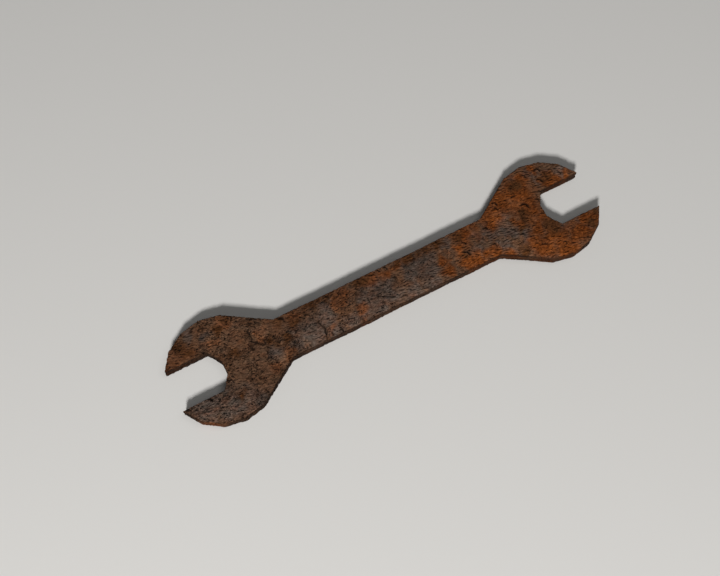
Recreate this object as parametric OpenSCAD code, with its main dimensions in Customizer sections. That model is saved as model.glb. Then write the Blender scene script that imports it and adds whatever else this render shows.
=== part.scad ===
// Double open-ended flat spanner for 19 mm nuts.
// One piece of 6 mm plate steel: a straight handle that flares into a many-sided head at each end,
// with a parallel jaw open along the handle's line and a throat shaped to a nut's corner.
//
// Frame: millimetres, +X along the handle, +Y across it in the plate, +Z through the plate.
// The origin is the middle of the underside, so the spanner lies flat on Z = 0.

/* [Jaws] */
// Distance between the two faces of each jaw: a 19 mm nut with 0.1 mm to spare
jaw_w = 19.1; // [14:0.1:24]
// Depth of each jaw, from its tips to the bottom of its throat
jaw_depth = 24.4; // [20:0.1:26]
// Length along the jaw of the throat's two sloping flats, which meet a nut's next two faces
throat_run = 4.1; // [2:0.1:6]
// Width of the short flat across the bottom of the throat
throat_flat = 6.3; // [2:0.1:8]

/* [Heads] */
// Number of straight flats around a whole head rim
head_flats = 16; // [12:4:24]
// Distance between the centres of the two heads
head_span = 166; // [150:1:260]

/* [Handle] */
// Width of the handle
handle_w = 20; // [12:0.5:24]
// Distance from a head's centre to where the handle starts to flare out to that head
flare_start = 30; // [26:0.5:40]

/* [Plate] */
// Thickness of the plate
plate_t = 6; // [3:0.5:9]

/* [Hidden] */

// Angle between neighbouring corners of a head rim
rim_step = 360 / head_flats;
// The rim's corners next to its nose are the jaw's tips, so the jaw sets the head's radius
head_r = (jaw_w / 2) / sin(rim_step);
// The rim's last corner on the handle's side, where the flare leaves the head
flare_angle = 90 + rim_step;
// Positions along one half of the spanner, from its middle
head_x = head_span / 2;
tip_x = head_x + head_r * cos(rim_step);
throat_x = tip_x - jaw_depth;
flare_x = head_x - flare_start;

// A corner of a head rim, at an angle from the jaw's direction
function rim_corner(angle) = [head_x + head_r * cos(angle), head_r * sin(angle)];

// One edge of the half spanner, on its +Y side, from the flare round the rim to the throat
edge = [
    [flare_x, handle_w / 2],
    for (angle = [flare_angle : -rim_step : rim_step]) rim_corner(angle),
    [throat_x + throat_run, jaw_w / 2],
    [throat_x, throat_flat / 2],
];

// The same points on the -Y side, in the opposite order
function mirrored(points) = [for (i = [len(points) - 1 : -1 : 0]) [points[i][0], -points[i][1]]];

// The +X half of the outline, closed along the spanner's middle by turning it half round
right_half = concat(edge, mirrored(edge));
outline = concat(right_half, -right_half);

// The whole spanner, cut from one piece of plate
module wrench_body() {
    color([0.36, 0.22, 0.14])
        linear_extrude(height = plate_t)
            polygon(outline);
}

wrench_body();
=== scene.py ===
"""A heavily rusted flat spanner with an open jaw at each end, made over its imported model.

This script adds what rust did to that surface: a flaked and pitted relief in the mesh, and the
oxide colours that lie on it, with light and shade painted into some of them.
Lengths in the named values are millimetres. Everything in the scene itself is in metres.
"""

import math

import bmesh
import bpy
import numpy as np
from mathutils import Matrix, Vector, noise


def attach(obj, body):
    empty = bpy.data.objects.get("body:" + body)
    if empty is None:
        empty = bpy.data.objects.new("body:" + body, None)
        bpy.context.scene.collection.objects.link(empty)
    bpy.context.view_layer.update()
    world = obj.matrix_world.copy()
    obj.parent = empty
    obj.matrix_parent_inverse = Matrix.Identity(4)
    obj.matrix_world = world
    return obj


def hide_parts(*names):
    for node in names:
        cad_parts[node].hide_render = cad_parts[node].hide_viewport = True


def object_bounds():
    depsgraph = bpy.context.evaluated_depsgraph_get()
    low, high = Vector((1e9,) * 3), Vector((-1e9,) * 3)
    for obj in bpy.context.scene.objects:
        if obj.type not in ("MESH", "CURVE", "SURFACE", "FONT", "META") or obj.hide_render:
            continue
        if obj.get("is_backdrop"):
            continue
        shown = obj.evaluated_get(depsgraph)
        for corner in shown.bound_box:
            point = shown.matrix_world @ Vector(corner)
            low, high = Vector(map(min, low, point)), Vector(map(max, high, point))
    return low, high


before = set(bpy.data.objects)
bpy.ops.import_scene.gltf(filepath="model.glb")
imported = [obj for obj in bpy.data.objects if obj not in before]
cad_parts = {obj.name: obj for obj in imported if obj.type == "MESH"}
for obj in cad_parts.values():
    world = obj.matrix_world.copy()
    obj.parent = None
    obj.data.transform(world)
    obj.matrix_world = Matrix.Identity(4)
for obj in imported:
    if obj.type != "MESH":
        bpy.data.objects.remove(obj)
cad_low, cad_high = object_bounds()
middle = (cad_low + cad_high) / 2

MM = 0.001
STEEL = "wrench_body"
BODY = "root"

# --- Chance ---------------------------------------------------------------------------------
# Each octave of noise is this many times finer than the last, and weaker by that to this power
OCTAVE_STEP = 2.0
OCTAVE_FALL = 1.0
# Seeds: each pattern's own place in the noise, so that no two of them fall alike
ROW_SEEDS = (0, 31, 67)
LIFT_SEED = 0.0
SLOPE_SEEDS = (13.0, 29.0, 47.0)
PIT_SIZE_SEED = 5.0
PIT_SHARE_SEED = 71.0
SCALE_SEED = 11
CHIP_SEED = 53
STRAY_SEEDS = (3, 19, 41)
ZONE_SEEDS = (0, 50, 100, 150)

# --- The mesh -------------------------------------------------------------------------------
# Distance between mesh points, so that a flake about 1 mm wide gets two or three across it
MESH_STEP = 0.395
# Roundness that years of rust gave the plate's square edges, in this many facets. They are the
# only edges that bend by more than this angle
EDGE_ROUND = 0.3
EDGE_FACETS = 2
SQUARE_EDGE = 60
# Packed points nearer than this are one corner, and packed faces that bend less than this many
# degrees from their neighbour are one face
SAME_CORNER = 0.01
SAME_FACE = 1
# How upright a normal is where a side turns into the upper face or the underside
FACE_TURN = (0.3, 0.7)

# --- The relief: how far rust has eaten in from the plate's own faces, or swells out again ---
# Rust flakes lie in rows along the forging's grain, which runs across the handle at this angle
GRAIN_ANGLE = -32
FLAKE_LONG = 2.1
FLAKE_WIDE = 1.05
FLAKE_LIFT = 0.08
FLAKE_TILT = 0.17
FLAKE_GAP = 0.02
# How far a gap reaches into a flake, in flake widths
GAP_REACH = 0.22
# Like shingles, most rise the same way across the grain and break off short at the far edge
OVERLAP = 0.6
# How far the rows of flakes bend, and over what length
ROW_BEND = 0.9
ROW_LENGTH = 4.5
# They are loosest at the -X head and lie flatter towards the other one
LOOSE_SPAN = (-60, 60)
LOOSE_LOSS = 0.55
# Lumpy crust under the flakes, and the slow waves of a hand-forged face
CRUST_LONG = 1.8
CRUST_WIDE = 1.15
CRUST_DEPTH = 0.26
WAVE_LENGTH = 15
WAVE_DEPTH = 0.09
# Plates of unbroken forge scale stand a step above the eaten steel, and carry fewer flakes
SCALE_SIZE = 7.5
SCALE_STEP = 0.12
SCALE_EDGE = (0.16, 0.22)
SCALE_CALM = 0.6
# The faces are thinner towards the rim, where rust works from two sides, and the rim is chipped
RIM_REACH = 6.0
RIM_LOSS = 0.14
CHIP_SIZE = 1.9
CHIP_DEPTH = 0.16
CHIP_EDGE = (0.0, 0.45)
CHIP_REACH = (0.2, 1.2)
# The highest that crust swells above the plate's own faces
SWELL = 0.25
# Round pits on the underside and sides, one to a cell, over a share of the cells
PIT_CELL = 7.0
PIT_SHARE = 0.38
PIT_RADII = (0.44, 1.16)
PIT_WALL = (0.45, 1.0)
PIT_DEPTH = 0.4
# Where a crack's wall is, in crack widths from its line
CRACK_WALL = (0.25, 1.25)
# How far blisters lift, and the way from their hinge to their far edge, where their painted shadow
# falls
BLISTER_LIFT = 0.5
BLISTER_ANGLE = 40
# A blister's skin ends, and the dip that holds its painted shadow starts and stops, here, in
# blister radii from its middle
SKIN_END = (1.0, 1.2)
SHADOW_DIP_START = (0.75, 1.0)
SHADOW_DIP_STOP = (1.5, 2.0)
# How high on the lifted side that shadowed dip starts, from 0 at the hinge to 1 at the far side
SHADOW_DIP_RISE = (0.6, 0.85)
# Where a placed plate of scale breaks off, in half widths from its middle
PLATE_EDGE = (0.9, 1.0)
# How far broken edges stray, in the widths of a crack, a blister and a plate, over what length
CRACK_RAGGED = 0.45
CRACK_TEAR_LONG = 1.8
CRACK_TEAR_WIDE = 0.9
BLISTER_RAGGED = 0.3
BLISTER_TEAR = 0.9
PLATE_RAGGED = 0.16
PLATE_TEAR = 2.2
# Layers of rust that split apart along the plate's narrow sides, which carry fewer flakes
LAYER_THICK = 1.1
LAYER_LONG = 16
LAYER_DEPTH = 0.14
LAYER_SPLIT = (0.1, 0.5)
SIDE_CALM = 0.5

# --- Marks listed on the upper face, as (x, y, ...) from the spanner's middle -----------------
# Blisters that have lifted, with their radii. Beyond each one's far side a dip is painted dark as
# its shadow
BLISTERS = [
    (62.2, 12.9, 1.1), (61.7, 10.4, 0.8), (74.3, 5.3, 1.5), (81.3, 5.6, 0.7), (81.7, 19.1, 0.9),
    (89.1, 19.0, 1.2), (87.3, 13.8, 1.0), (94.8, 16.5, 0.7), (97.7, 12.9, 0.8), (52.0, -5.0, 0.9),
    (38.5, -2.9, 1.1), (40.0, 2.1, 0.8), (52.6, 4.0, 0.8), (81.3, -18.8, 0.7), (-94.0, -10.9, 1.0),
    (-50.6, 7.8, 1.1), (2.0, 8.1, 0.8), (-1.3, 8.4, 0.7), (4.0, 2.0, 0.7), (63.5, -2.8, 0.7),
]
# Cracks, as two ends and a width
CRACKS = [
    (71.2, 12.6, 73.8, 12.9, 0.35), (61.9, -16.7, 65.6, -18.5, 0.35),
    (65.7, -18.5, 66.4, -17.1, 0.3), (52.4, -10.6, 55.0, -12.2, 0.3),
    (72.0, -13.8, 75.8, -16.3, 0.3), (98.6, -14.2, 100.4, -15.0, 0.35),
    (-88.2, 22.0, -86.3, 22.9, 0.5), (-85.0, 21.0, -82.4, 20.8, 0.4),
    (-103.0, -12.2, -99.6, -11.9, 0.4), (-65.7, 10.2, -65.3, 5.8, 0.4),
    (-64.6, 13.6, -62.4, 12.9, 0.45), (-60.8, 12.5, -59.6, 11.7, 0.4),
    (-66.2, 5.2, -64.5, 3.5, 0.4), (-64.6, 4.2, -62.4, 1.2, 0.45), (-62.4, 1.2, -61.0, 1.0, 0.4),
    (-61.0, 1.0, -60.8, 3.2, 0.4), (-67.6, 3.2, -66.8, 1.2, 0.4),
    (-69.9, -17.6, -69.2, -19.4, 0.35), (-28.7, 9.3, -26.6, 8.7, 0.4),
    (-11.2, -0.8, -11.4, -3.2, 0.4), (-32.8, -7.4, -32.6, -8.9, 0.4),
    (-28.4, -7.3, -27.9, -9.4, 0.45), (-23.0, -4.2, -23.4, -6.0, 0.35),
    (-6.8, -1.9, 0.1, -5.6, 0.4), (10.0, 5.4, 12.0, 5.7, 0.3), (-44.0, -8.0, -43.8, -9.4, 0.35),
    (-5.9, -5.0, -5.6, -7.6, 0.3), (-38.7, 0.3, -35.9, -1.1, 0.3),
    (-35.9, -1.1, -34.6, -4.4, 0.45), (-34.6, -4.4, -35.7, -8.6, 0.45),
]
# Plates of forge scale with a broken edge, as a middle, half a length, half a width and an angle
SCALE_PLATES = [(-40.5, -5.2, 5.4, 4.4, 5), (1.6, 5.9, 1.3, 1.0, 0), (74.1, -10.9, 1.2, 0.9, -35)]

# --- Colour layout on the upper face and the sides below it, as (x, y, radius) ----------------
# Grey: forge scale and old dry oxide
GREY_ZONES = [
    (-91, 20, 2.5), (-84, 17, 2), (-95, -13, 8), (-84, -17, 8), (-74, -20, 6), (-58, -4, 3),
    (-41, -3, 6), (-40, -8, 5), (-31, 4, 4), (-32, -1, 5), (-22, -7, 4), (-13, 0, 4), (-9, -6, 6),
    (-1, 0, 5), (-1, -6, 5), (9, -7, 5), (14, 5, 6), (20, 5, 6), (20, -2, 5), (12, 0, 4),
    (45, -3, 3), (47, 3.5, 2.5), (52.5, 3.5, 3), (54, 0, 3), (60, -1, 3), (63, 5.2, 2.8),
    (63, -3, 3.2), (57, -7, 3), (59, -12, 2.4), (68.3, -8.3, 3.4), (69, -18.8, 3.2),
    (73, -23, 2.4), (77.5, -3.8, 2.4), (85.4, -10.8, 3.4), (93.8, -12, 3), (94.6, -16.7, 2),
    (85.8, -19.6, 1.8), (86, 20, 4), (87, 14, 2), (93, 17.5, 1.8), (99.2, 13.3, 3.2),
    (96.3, 10.4, 2), (101, 16, 2), (76.7, 21.7, 2.6), (65.4, 9.2, 1.6), (32, 7, 3), (-31, -8, 4),
    (-16, -7, 3), (18, -8, 4), (-48, -6, 4), (-46, 2, 4), (-5, 3, 4),
]
# Orange: fresh powdery rust
ORANGE_ZONES = [
    (-104, 11, 4), (-99, 13, 6), (-94, 14, 5), (-80, 12, 3), (-74, 18.8, 3.5), (-62, 6.5, 3),
    (-62, -10.4, 3), (-54, -8.3, 3), (-44, 7.5, 4), (-24, 4.2, 4), (-21, 7.5, 5), (-16.5, -2.5, 3),
    (-15.8, -9.4, 1.8), (-32.5, -6.5, 2.6), (-6, 7, 4), (1, 6.5, 3), (7, 7.5, 3), (28, -1, 2.5),
    (27, -6, 2.5), (37, 1, 4), (37, -6, 4), (41, -8, 5), (43, 8, 6), (56, -13, 4), (58, 8, 6),
    (66, 13, 7), (75, 14, 8), (75, 5, 7), (68, 0, 3), (72, -16, 7), (82, -21, 7), (80, -13, 6),
    (90, -17, 6), (98, -13, 6), (93, 12, 5), (101, 11, 2.4), (80, -3, 5), (74, -6, 4), (50, -8, 4),
    (88, 22, 3), (80, 20, 4),
]
# It lies thickest on the +X head and thins out to this share at the other one
ORANGE_THIN = 0.45
# Brown: the darkest, damp-looking rust
BROWN_ZONES = [
    (-95, 16, 4), (-77, 16.5, 2), (-70, 21, 2.5), (-58, 2, 2.2), (-46, 3.5, 3), (7.5, 8.3, 2.4),
    (29, 8, 3), (40, 7.5, 3), (38.3, -3, 1.6), (72, 2, 3), (67.5, -2.5, 2.6), (63.3, -13, 2.2),
    (76, 17.5, 3), (81.7, -10.8, 2.2), (98.3, -15.4, 2.4), (-81, -14.5, 2.5), (-76, 3, 2.5),
    (92, 14.5, 2.2), (103, -11, 2), (-52, 8.5, 2.4), (-36, 9, 3), (-30, 9.5, 3), (-10, 9, 4),
    (14, 9, 4), (22, 9, 4), (84, 0, 3), (82, -8, 5), (-52, -1, 2),
]
# Pale: powder that has dried out, with painted front light that makes the handle's front and the
# heads' front rims lightest
PALE_ZONES = [
    (-42, -7, 6), (-32, -8, 6), (-23, -7, 6), (-15, -8, 6), (-7, -8, 5), (1, -8, 5), (10, -8, 5),
    (20, -8, 3), (39, -8, 5), (47, -8, 5), (-27, -2, 4), (-80, 12, 4), (-74, 16, 4), (-62, 7, 3),
    (-58, -9, 3), (-30, -1, 5), (-96, -15, 5), (-88, -20, 5), (-79, -22, 4), (58, -11, 6),
    (66, -15, 6), (75, -19, 6), (84, -22, 4), (61, 6, 4), (36, 0, 3), (100, 12, 3), (72, 11, 3),
]
# Fresh: bright orange powder on the sides alone, at the front left of the -X head's rim. There
# the sides' painted shade is lifted and painted light added, so that facet is painted as lit
ORANGE_LIT_FACET = [(-97, -20, 5.5)]

# The zones by name. The material reads the three oxides, and pale powder with its painted front
# light goes into the brightness
ZONES = {
    "grey_scale": GREY_ZONES,
    "orange_rust": ORANGE_ZONES,
    "brown_rust": BROWN_ZONES,
    "pale_and_front_light": PALE_ZONES,
}
# How much of a zone's radius its soft edge takes, each way
ZONE_SOFT = 0.7
# How far zones stray from round, over what length
ZONE_STRAY = 3.0
ZONE_STRAY_LENGTH = 5
# How much their edges are torn, by patches this long and wide along the grain
TORN = 0.16
TEAR_LONG = 4.5
TEAR_WIDE = 2.4
# Grey and orange show as flecks outside their zones too
FLECKS = {"grey_scale": 0.18, "orange_rust": 0.12, "brown_rust": 0.0, "pale_and_front_light": 0.0}
# What the sides' painted shade, which turns them browner and less grey, and the lit facet's
# orange powder and painted light add to each, or take away from it
PAINTED_SIDE_TINT = {"grey_scale": -0.45, "orange_rust": 0.0, "brown_rust": 0.35, "pale_and_front_light": 0.0}
ORANGE_LIT_FACET_SHIFT = {"grey_scale": -0.5, "orange_rust": 0.7, "brown_rust": -0.35, "pale_and_front_light": 0.6}
# The underside has no zones of its own: there each comes and goes by chance over this length,
# about this middle and by this much
UNDER_SIZE = 11
UNDER_MIDDLE = 0.5
UNDER_SPREAD = 0.9

# --- The finish: each oxide's shades, from the hollows between its grains to their crowns -------
OXIDES = {
    "mixed_rust": ("#5d4331", "#654934", "#6f503a", "#7c5b44"),
    "grey_scale": ("#4c423a", "#544941", "#5c4f47", "#6a5c53"),
    "orange_rust": ("#64310f", "#6f3913", "#7c421a", "#904f23"),
    "brown_rust": ("#482a14", "#4f2f17", "#58351b", "#643e21"),
}
# The tones at which those four shades lie
TONE_STOPS = (0.30, 0.45, 0.58, 0.74)
# The bottom of a pit or a crack, and the blisters' painted shadow
PIT_AND_SHADOW_COLOUR = "#150d08"
# Sizes of the finest marks, all drawn out along the grain
GRAIN_STRETCH = 2.0
BLOTCH_SIZE = 2.2
SPECK_SIZE = 0.5
DUST_SIZE = 0.4
NOISE_DETAIL = 4
NOISE_ROUGH = 0.65
# Grit is the crust's smallest smooth lumps: how wide they are, and how deep their noise is cut
GRIT_SIZE = 0.85
GRIT_DEPTH = 1.5
# Scabs are flakes too fine for the mesh, in two sizes: each size's width in mm, the slope of a
# scab, the width of its seams as a share of a scab, and how dark the painted shade in open seams is
SCABS = (
    (1.45, 1.3, 0.18, 0.72),
    (0.70, 2.4, 0.26, 0.86),
)
# Where the seams are shut, the steel is as bright as open seams with their painted shade and their
# scabs are on average
SHUT_SHADE = 0.96
# The seams are open only in patches, where the blotches are between these levels
PATCH_LOW = 0.2
PATCH_HIGH = 0.8
# Scabs lean every way about this middle, and so mostly across the grain as the flakes do
LEAN_MIDDLE = (0.5, 0.2, 0.5)
# How far the rows of scabs wander off the grain, over what length
WANDER = 1.0
WANDER_SIZE = 1.6
# How much of the tone comes from whole scabs
SCAB_SHARE = 0.35
# How far blotches move an oxide's edge, and between which reaches it goes from none to full
RAGGED = 0.8
COVER_LOW = 0.0
COVER_HIGH = 1.0
# Brightness that dry powder with its painted front light, painted light on the flakes' crowns
# and painted shade in their gaps, painted shade on the sides, the sides' layers and dust give
PALE_NONE = 0.85
PALE_FULL = 1.3
GAP_PAINTED_SHADE = 0.85
CROWN_PAINTED_LIGHT = 1.12
CROWN_LIGHT_GAIN = 2.2
SIDE_SHADE = 0.6
LAYER_SHADE = 0.4
DUST_LOW = 0.3
DUST_HIGH = 0.7
DUST_DARK = 0.85
DUST_LIGHT = 1.15
DUST_DEPTH = 0.05
# How much of the colour is the hollows' own in a pit or crack and in split layers, and how dark
# the blisters' painted shadow is
PIT_AND_SHADOW_SHARE = 0.9
SPLIT_SHADE = 0.4
# Powder is dull; scale a little less so, and neither shines
POWDER_ROUGH = 0.95
SCALE_ROUGH = 0.75
SHINE = 0.1

# --- The studio, in metres, degrees and watts; turn is counted from the spanner's front --------
FLOOR_HALF = 2.5
FLOOR_COLOUR = "#dcdad6"
FLOOR_ROUGH = 0.9
KEY = {"turn": -35, "elevation": 38, "distance": 1.6, "size": 0.25, "power": 26}
FILL = {"turn": 60, "elevation": 70, "distance": 1.6, "size": 1.0, "power": 3}
ROOM_COLOUR = "#eeeeee"
ROOM_STRENGTH = 0.08
# The camera's lens and the width of its sensor, in mm
LENS = 50
SENSOR = 36
CAMERA = {"turn": -27.7, "elevation": 68.2, "distance": 0.4526}
# What the camera faces, from the spanner's middle
AIM_OFFSET = (-0.0115, 0.0063, 0)


def linear(hex_colour):
    """An sRGB hex value such as "#8a4a22" as the linear colour that a shader takes.

    The numbers in it are those of the sRGB standard's own curve.
    """
    channels = [int(hex_colour[i : i + 2], 16) / 255 for i in (1, 3, 5)]
    return [c / 12.92 if c <= 0.04045 else ((c + 0.055) / 1.055) ** 2.4 for c in channels] + [1.0]


def between(low, high, share):
    """The value that lies share of the way from low to high."""
    return low + (high - low) * share


def step_up(values, low, high):
    """0 below low, 1 above high and a smooth rise between them."""
    t = np.clip((values - low) / (high - low), 0, 1)
    return t * t * (3 - 2 * t)


def lumps(points, size, octaves=1, seed=0):
    """Smooth noise, mostly from -1 to 1, whose lumps are about size across."""
    places = (points + seed) / size
    return np.array([noise.fractal(p, OCTAVE_FALL, OCTAVE_STEP, octaves) for p in places.tolist()])


def drift(points, size, seeds, octaves=1):
    """Smooth noise in all three directions, one seed for each, to make straight things wander."""
    return np.stack([lumps(points, size, octaves, seed) for seed in seeds], axis=1)


def cells(points):
    """For each point: how far it is from its cell's edge, and its cell's centre, in cell widths."""
    found = [noise.voronoi(p) for p in points.tolist()]
    gap = np.array([distances[1] - distances[0] for distances, _ in found])
    centre = np.array([centres[0] for _, centres in found])
    return gap, centre


def chance(centres, seed):
    """One number from 0 to 1 for each cell, the same for all its points."""
    return np.array([0.5 + 0.5 * noise.cell(c) for c in (centres + seed).tolist()])


def steel_blank():
    """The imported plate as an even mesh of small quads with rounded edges, and its outline."""
    plate = bpy.data.objects.new("rusted_spanner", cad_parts[STEEL].data.copy())
    bpy.context.scene.collection.objects.link(plate)
    solid = bmesh.new()
    solid.from_mesh(plate.data)
    bmesh.ops.remove_doubles(solid, verts=solid.verts, dist=SAME_CORNER * MM)
    bmesh.ops.dissolve_limit(
        solid, angle_limit=math.radians(SAME_FACE), verts=solid.verts, edges=solid.edges
    )
    top = max(solid.faces, key=lambda face: face.calc_center_median().z)
    outline = np.array([v.co[:2] for v in top.verts]) / MM
    solid.to_mesh(plate.data)
    solid.free()

    edges = plate.modifiers.new("worn_edges", "BEVEL")
    edges.width = EDGE_ROUND * MM
    edges.segments = EDGE_FACETS
    edges.angle_limit = math.radians(SQUARE_EDGE)
    grid = plate.modifiers.new("even_mesh", "REMESH")
    grid.mode = "VOXEL"
    grid.voxel_size = MESH_STEP * MM
    finished = plate.evaluated_get(bpy.context.evaluated_depsgraph_get())
    plate.data = bpy.data.meshes.new_from_object(finished)
    plate.data.name = plate.name
    plate.modifiers.clear()
    plate.data.shade_smooth()
    return plate, outline


def rim_distance(points, outline):
    """How far each point is from the plate's outline, seen from above."""
    nearest = np.full(len(points), np.inf)
    for start, end in zip(outline, np.roll(outline, -1, axis=0)):
        nearest = np.minimum(nearest, line_distance(points, start, end))
    return nearest


def line_distance(points, start, end):
    """How far each point is from the line between two others, seen from above."""
    run = np.array(end) - start
    t = np.clip((points[:, :2] - start) @ run / (run @ run), 0, 1)
    return np.linalg.norm(points[:, :2] - start - t[:, None] * run, axis=1)


def along_grain(points, long, wide):
    """The points turned to the grain, counted in lengths along it and in widths across it."""
    turn = np.array(Matrix.Rotation(math.radians(GRAIN_ANGLE), 3, "Z"))
    return points @ turn / [long, wide, wide]


def flake_relief(points):
    """Loose flakes in rows: each sits at its own height and slope, with a gap round it."""
    bent = points + ROW_BEND * drift(points, ROW_LENGTH, ROW_SEEDS)
    laid = along_grain(bent, FLAKE_LONG, FLAKE_WIDE)
    gap, centre = cells(laid)
    lift = 2 * chance(centre, LIFT_SEED) - 1
    slope = np.stack([2 * chance(centre, seed) - 1 for seed in SLOPE_SEEDS], axis=1)
    slope[:, 1] += OVERLAP
    tilt = ((laid - centre) * slope).sum(axis=1)
    return FLAKE_LIFT * lift + FLAKE_TILT * tilt - FLAKE_GAP * (1 - step_up(gap, 0, GAP_REACH))


def scattered_pits(points):
    """How deep into a scattered pit each point is, from 0 to 1."""
    _, centre = cells(points / PIT_CELL)
    away = np.linalg.norm(points - centre * PIT_CELL, axis=1)
    radius = between(*PIT_RADII, chance(centre, PIT_SIZE_SEED))
    return (chance(centre, PIT_SHARE_SEED) < PIT_SHARE) * (1 - step_up(away / radius, *PIT_WALL))


def placed_cracks(points):
    """How deep into a placed crack each point of the upper face is, from 0 to 1."""
    depth = np.zeros(len(points))
    tears = along_grain(points, CRACK_TEAR_LONG, CRACK_TEAR_WIDE)
    ragged = CRACK_RAGGED * lumps(tears, 1, octaves=2)
    for x0, y0, x1, y1, width in CRACKS:
        away = line_distance(points, (x0, y0), (x1, y1)) / width
        depth = np.maximum(depth, 1 - step_up(away + ragged, *CRACK_WALL))
    return depth


def placed_blisters(points):
    """How far a placed blister lifts each point, from 0 to 1, and how deep each point lies in the
    dip beyond its far edge, which is painted dark as the blister's shadow.
    """
    lift, shadow_dip = np.zeros(len(points)), np.zeros(len(points))
    ragged = BLISTER_RAGGED * lumps(points, BLISTER_TEAR, octaves=2)
    far = (math.cos(math.radians(BLISTER_ANGLE)), math.sin(math.radians(BLISTER_ANGLE)))
    for x, y, radius in BLISTERS:
        off = (points[:, :2] - (x, y)) / radius
        away = np.linalg.norm(off, axis=1) + ragged
        rise = np.clip(0.5 + 0.5 * off @ far, 0, 1)
        lift = np.maximum(lift, rise * (1 - step_up(away, *SKIN_END)))
        rim = step_up(away, *SHADOW_DIP_START) * (1 - step_up(away, *SHADOW_DIP_STOP))
        shadow_dip = np.maximum(shadow_dip, rim * step_up(rise, *SHADOW_DIP_RISE))
    return lift, shadow_dip


def placed_plates(points):
    """Where the placed plates of scale are, from 0 to 1, with ragged edges."""
    plates = np.zeros(len(points))
    ragged = PLATE_RAGGED * lumps(points, PLATE_TEAR, octaves=3)
    for x, y, half_long, half_wide, angle in SCALE_PLATES:
        turn = np.array(Matrix.Rotation(math.radians(angle), 2))
        off = (points[:, :2] - (x, y)) @ turn / (half_long, half_wide)
        plates = np.maximum(plates, 1 - step_up(np.abs(off).max(axis=1) + ragged, *PLATE_EDGE))
    return plates


def inside_zones(points, listed):
    """How far inside the listed round zones each point is: about 1 in the middle, 0 outside."""
    inside = np.zeros(len(points))
    for x, y, radius in listed:
        away = np.linalg.norm(points[:, :2] - (x, y), axis=1) / radius
        inside = np.maximum(inside, 1 - step_up(away, 1 - ZONE_SOFT, 1 + ZONE_SOFT))
    return inside


def store(mesh, name, values):
    """Keeps one number per mesh point, for the material to read."""
    kept = mesh.attributes.new(name, "FLOAT", "POINT")
    kept.data.foreach_set("value", values.astype(np.float32))


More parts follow.
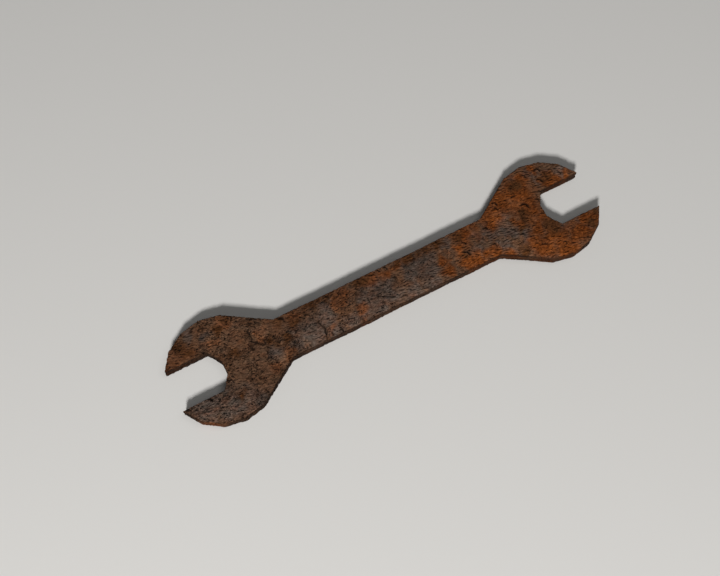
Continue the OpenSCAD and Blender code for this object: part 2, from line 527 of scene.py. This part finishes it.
def rusted_spanner():
    """The whole spanner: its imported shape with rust's relief in the mesh."""
    plate, outline = steel_blank()
    mesh = plate.data
    count = len(mesh.vertices)
    places, normals = np.zeros(count * 3), np.zeros(count * 3)
    mesh.vertices.foreach_get("co", places)
    mesh.vertex_normals.foreach_get("vector", normals)
    points, normals = places.reshape(-1, 3) / MM, normals.reshape(-1, 3)

    upper = step_up(normals[:, 2], *FACE_TURN)
    under = step_up(-normals[:, 2], *FACE_TURN)
    side = 1 - upper - under
    rim = rim_distance(points, outline)
    along = step_up(points[:, 0], *LOOSE_SPAN)

    scale = step_up(lumps(points, SCALE_SIZE, octaves=3, seed=SCALE_SEED), *SCALE_EDGE)
    scale *= 1 - SCALE_CALM * side
    scale = np.maximum(scale, upper * placed_plates(points))
    broken = 1 - SCALE_CALM * scale
    loose = 1 - LOOSE_LOSS * along
    crust = CRUST_DEPTH * lumps(along_grain(points, CRUST_LONG, CRUST_WIDE), 1)
    flaked = loose * broken * (flake_relief(points) + crust) * (1 - SIDE_CALM * side)
    blisters, shadow_dips = placed_blisters(points)
    sinks_and_shadows = np.maximum((under + side) * scattered_pits(points), upper * placed_cracks(points))
    # The dips beside blisters sink like pits, and take the hollows' colour as the blisters' painted
    # shadow
    sinks_and_shadows = np.maximum(sinks_and_shadows, upper * shadow_dips)
    layers = lumps(points / [LAYER_LONG, LAYER_LONG, LAYER_THICK], 1, octaves=2)
    chips = step_up(lumps(points, CHIP_SIZE, octaves=2, seed=CHIP_SEED), *CHIP_EDGE)
    chips *= 1 - step_up(rim, *CHIP_REACH)

    relief = flaked + WAVE_DEPTH * lumps(points, WAVE_LENGTH)
    relief += SCALE_STEP * (1 - side) * (scale - 1)
    relief -= RIM_LOSS * (1 - side) * (1 - np.clip(rim / RIM_REACH, 0, 1)) ** 2
    relief -= CHIP_DEPTH * chips
    relief -= PIT_DEPTH * sinks_and_shadows
    relief += BLISTER_LIFT * upper * blisters
    relief += LAYER_DEPTH * side * layers
    moved = points + normals * np.minimum(relief, SWELL)[:, None]
    mesh.vertices.foreach_set("co", (moved * MM).ravel())
    mesh.update()

    reach = {}
    orange_lit_facet = side * inside_zones(points, ORANGE_LIT_FACET)
    strayed = points + ZONE_STRAY * drift(points, ZONE_STRAY_LENGTH, STRAY_SEEDS, octaves=2)
    for seed, (name, listed) in zip(ZONE_SEEDS, ZONES.items()):
        torn = TORN * lumps(along_grain(points, TEAR_LONG, TEAR_WIDE), 1, octaves=4, seed=seed)
        by_chance = UNDER_MIDDLE + UNDER_SPREAD * lumps(points, UNDER_SIZE, octaves=2, seed=seed)
        inside = between(inside_zones(strayed, listed), by_chance, under)
        if name == "orange_rust":
            inside *= between(ORANGE_THIN, 1, along)
        # As painted shade the sides turn browner; the lit facet turns orange, with painted light
        inside += PAINTED_SIDE_TINT[name] * side + ORANGE_LIT_FACET_SHIFT[name] * orange_lit_facet
        reach[name] = np.clip(np.maximum(inside, FLECKS[name]) + torn, 0, 1)
    # Pale powder, with its painted front light, goes into the brightness below
    pale = reach.pop("pale_and_front_light")
    for name, amount in reach.items():
        store(mesh, name, amount)

    # Painted light on the flakes' crowns, and painted shade in their gaps and on the sides save the
    # lit facet
    painted_crest_light = np.clip(0.5 + CROWN_LIGHT_GAIN * flaked, 0, 1)
    tone_and_painted_light = between(PALE_NONE, PALE_FULL, pale) * between(GAP_PAINTED_SHADE, CROWN_PAINTED_LIGHT, painted_crest_light)
    tone_and_painted_light *= (1 - SIDE_SHADE * (side - orange_lit_facet)) * (1 + LAYER_SHADE * side * layers)
    store(mesh, "tone_and_painted_light", tone_and_painted_light)
    store(mesh, "loose", loose * broken)
    split = SPLIT_SHADE * side * step_up(-layers, *LAYER_SPLIT)
    store(mesh, "pit_colour_and_shadow", np.clip(PIT_AND_SHADOW_SHARE * sinks_and_shadows + split, 0, 1))
    return plate


def add(tree, kind, inputs, **settings):
    """Adds a node with its settings. Each input is a constant, or the output that feeds it.

    Inputs and outputs that share a name go by number. On a mix node 0 is the share, 2 and 3 are
    the two numbers and 6 and 7 the two colours. Output 0 is the mixed number, 2 the mixed colour.
    """
    node = tree.nodes.new(kind)
    for name, value in settings.items():
        setattr(node, name, value)
    for socket, value in inputs.items():
        if isinstance(value, bpy.types.NodeSocket):
            tree.links.new(value, node.inputs[socket])
        else:
            node.inputs[socket].default_value = value
    return node


def rusted_carbon_steel():
    """Rusted carbon steel: plain forged plate left out in the wet for years.

    To the eye it is dry and dull all over, and not metallic, because only oxides show. Orange
    powder and brown rust lie over grey forge scale, with a mixed rust between them. It darkens in
    pits and cracks. Painted shade darkens the seams and gaps between flakes, the sides, and the
    dips where blisters cast their shadows; painted light pales the flakes' crowns and the handle's
    front.
    """
    material = bpy.data.materials.new("rusted_carbon_steel")
    material.use_nodes = True
    tree = material.node_tree
    tree.nodes.clear()
    place = add(tree, "ShaderNodeTexCoord", {}).outputs["Object"]
    # The finest marks follow the forging's grain: turned to it, and drawn out along it
    laid = add(
        tree,
        "ShaderNodeMapping",
        {
            "Vector": place,
            "Rotation": (0, 0, -math.radians(GRAIN_ANGLE)),
            "Scale": (1 / GRAIN_STRETCH, 1, 1),
        },
    ).outputs["Vector"]
    blotch, speck, dust = (
        add(
            tree,
            "ShaderNodeTexNoise",
            {
                "Vector": laid,
                "Scale": 1 / (size * MM),
                "Detail": NOISE_DETAIL,
                "Roughness": NOISE_ROUGH,
            },
        ).outputs["Fac"]
        for size in (BLOTCH_SIZE, SPECK_SIZE, DUST_SIZE)
    )
    stored = {
        name: add(tree, "ShaderNodeAttribute", {}, attribute_name=name).outputs["Fac"]
        for name in ("grey_scale", "orange_rust", "brown_rust", "tone_and_painted_light", "loose", "pit_colour_and_shadow")
    }

    wander = add(tree, "ShaderNodeTexNoise", {"Vector": place, "Scale": 1 / (WANDER_SIZE * MM)})
    bent = add(
        tree,
        "ShaderNodeVectorMath",
        {0: wander.outputs["Color"], 1: (WANDER * MM, WANDER * MM, WANDER * MM), 2: laid},
        operation="MULTIPLY_ADD",
    ).outputs["Vector"]

    # Scabs: each leans its own way from its middle, with painted shade in the seam where it meets
    # the next
    patchy = add(
        tree,
        "ShaderNodeMapRange",
        {"Value": blotch, "From Min": PATCH_LOW, "From Max": PATCH_HIGH, "To Max": stored["loose"]},
    ).outputs["Result"]
    grit = add(
        tree, "ShaderNodeTexNoise", {"Vector": laid, "Scale": 1 / (GRIT_SIZE * MM), "Detail": 0}
    )
    relief = add(
        tree,
        "ShaderNodeBump",
        {"Height": grit.outputs["Fac"], "Distance": GRIT_DEPTH * MM},
    ).outputs["Normal"]
    seam_painted_shades = []
    for width, slope, seam_width, seam_shade in SCABS:
        laid_out = {"Vector": bent, "Scale": 1 / (width * MM)}
        scab = add(tree, "ShaderNodeTexVoronoi", laid_out, feature="F1")
        seam = add(tree, "ShaderNodeTexVoronoi", laid_out, feature="DISTANCE_TO_EDGE")
        offset = add(
            tree,
            "ShaderNodeVectorMath",
            {0: bent, 1: scab.outputs["Position"]},
            operation="SUBTRACT",
        ).outputs["Vector"]
        lean = add(
            tree,
            "ShaderNodeVectorMath",
            {0: scab.outputs["Color"], 1: LEAN_MIDDLE},
            operation="SUBTRACT",
        ).outputs["Vector"]
        height = add(
            tree, "ShaderNodeVectorMath", {0: offset, 1: lean}, operation="DOT_PRODUCT"
        ).outputs["Value"]
        relief = add(
            tree,
            "ShaderNodeBump",
            {"Height": height, "Distance": slope, "Strength": stored["loose"], "Normal": relief},
        ).outputs["Normal"]
        shut = add(
            tree,
            "ShaderNodeMapRange",
            {"Value": seam.outputs["Distance"], "From Max": seam_width, "To Min": seam_shade},
        ).outputs["Result"]
        seam_painted_shades.append(add(tree, "ShaderNodeMix", {0: patchy, 2: SHUT_SHADE, 3: shut}).outputs[0])
    tint = add(tree, "ShaderNodeSeparateColor", {"Color": scab.outputs["Color"]}).outputs["Blue"]
    tone = add(tree, "ShaderNodeMix", {0: SCAB_SHARE, 2: speck, 3: tint}).outputs[0]

    # Each oxide's shades are laid over the mixed rust where its zones reach, with ragged edges
    ragged = add(
        tree, "ShaderNodeMath", {0: blotch, 1: RAGGED, 2: -RAGGED / 2}, operation="MULTIPLY_ADD"
    ).outputs[0]
    colour = None
    for oxide, shades in OXIDES.items():
        shade = add(tree, "ShaderNodeValToRGB", {"Fac": tone})
        while len(shade.color_ramp.elements) < len(shades):
            shade.color_ramp.elements.new(TONE_STOPS[-1])
        for element, stop, hex_colour in zip(shade.color_ramp.elements, TONE_STOPS, shades):
            element.position = stop
            element.color = linear(hex_colour)
        if oxide not in stored:
            colour = shade.outputs["Color"]
            continue
        reach = add(
            tree, "ShaderNodeMath", {0: stored[oxide], 1: ragged}, operation="ADD"
        ).outputs[0]
        cover = add(
            tree,
            "ShaderNodeMapRange",
            {"Value": reach, "From Min": COVER_LOW, "From Max": COVER_HIGH},
        ).outputs["Result"]
        colour = add(
            tree,
            "ShaderNodeMix",
            {0: cover, 6: colour, 7: shade.outputs["Color"]},
            data_type="RGBA",
        ).outputs[2]

    # The stored brightness (pale powder, and painted light and shade from the mesh's relief and on
    # the sides), dust and painted shade in the open seams darken or pale it
    powder = add(
        tree,
        "ShaderNodeMapRange",
        {
            "Value": dust,
            "From Min": DUST_LOW,
            "From Max": DUST_HIGH,
            "To Min": DUST_DARK,
            "To Max": DUST_LIGHT,
        },
    ).outputs["Result"]
    for level in (stored["tone_and_painted_light"], powder, *seam_painted_shades):
        colour = add(
            tree, "ShaderNodeVectorMath", {0: colour, "Scale": level}, operation="SCALE"
        ).outputs["Vector"]
    colour = add(
        tree, "ShaderNodeMix", {0: stored["pit_colour_and_shadow"], 6: colour, 7: linear(PIT_AND_SHADOW_COLOUR)}, data_type="RGBA"
    ).outputs[2]

    roughness = add(
        tree,
        "ShaderNodeMapRange",
        {"Value": stored["grey_scale"], "To Min": POWDER_ROUGH, "To Max": SCALE_ROUGH},
    ).outputs["Result"]
    relief = add(
        tree, "ShaderNodeBump", {"Height": dust, "Distance": DUST_DEPTH * MM, "Normal": relief}
    ).outputs["Normal"]
    shader = add(
        tree,
        "ShaderNodeBsdfPrincipled",
        {
            "Base Color": colour,
            "Roughness": roughness,
            "Normal": relief,
            "Metallic": 0.0,
            "Specular IOR Level": SHINE,
        },
    )
    add(tree, "ShaderNodeOutputMaterial", {"Surface": shader.outputs["BSDF"]})
    return material


def pale_floor(height):
    """Matt painted board under the spanner: to the eye pale and even, with no shine or pattern."""
    ways = [(-1, -1), (1, -1), (1, 1), (-1, 1)]
    corners = [(x * FLOOR_HALF, y * FLOOR_HALF, height) for x, y in ways]
    mesh = bpy.data.meshes.new("floor")
    mesh.from_pydata(corners, [], [(0, 1, 2, 3)])
    floor = bpy.data.objects.new("floor", mesh)
    bpy.context.scene.collection.objects.link(floor)
    board = bpy.data.materials.new("pale_matt_board")
    board.use_nodes = True
    shader = board.node_tree.nodes["Principled BSDF"]
    shader.inputs["Base Color"].default_value = linear(FLOOR_COLOUR)
    shader.inputs["Roughness"].default_value = FLOOR_ROUGH
    mesh.materials.append(board)
    floor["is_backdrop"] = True


def place_facing(thing, aim, turn, elevation, distance):
    """Stands a camera or a light turn degrees round from the spanner's front, facing aim."""
    level, up = math.cos(math.radians(elevation)), math.sin(math.radians(elevation))
    way = Vector((math.sin(math.radians(turn)) * level, -math.cos(math.radians(turn)) * level, up))
    thing.location = aim + way * distance
    thing.rotation_mode = "QUATERNION"
    thing.rotation_quaternion = (-way).to_track_quat("-Z", "Y")
    bpy.context.scene.collection.objects.link(thing)


def softbox(name, turn, elevation, distance, size, power):
    """A square studio light with a soft edge to its shadows."""
    light = bpy.data.lights.new(name, "AREA")
    light.shape = "SQUARE"
    light.size = size
    light.energy = power
    place_facing(bpy.data.objects.new(name, light), middle, turn, elevation, distance)


def studio():
    """Plain soft light: a softbox at the front left, a weak one overhead and a dim pale room."""
    softbox("key_softbox", **KEY)
    softbox("fill_softbox", **FILL)
    world = bpy.data.worlds.new("pale_room")
    world.use_nodes = True
    room = world.node_tree.nodes["Background"]
    room.inputs["Color"].default_value = linear(ROOM_COLOUR)
    room.inputs["Strength"].default_value = ROOM_STRENGTH
    bpy.context.scene.world = world
    bpy.context.scene.view_settings.view_transform = "Standard"


def camera():
    """A 50 mm lens on a full-size sensor, from high up and a little to the left of the front."""
    lens = bpy.data.cameras.new("camera")
    lens.lens = LENS
    lens.sensor_width = SENSOR
    seen = bpy.data.objects.new("camera", lens)
    place_facing(seen, middle + Vector(AIM_OFFSET), **CAMERA)
    bpy.context.scene.camera = seen


spanner = rusted_spanner()
spanner.data.materials.clear()
spanner.data.materials.append(rusted_carbon_steel())
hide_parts(STEEL)
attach(spanner, BODY)
pale_floor(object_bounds()[0].z)
studio()
camera()
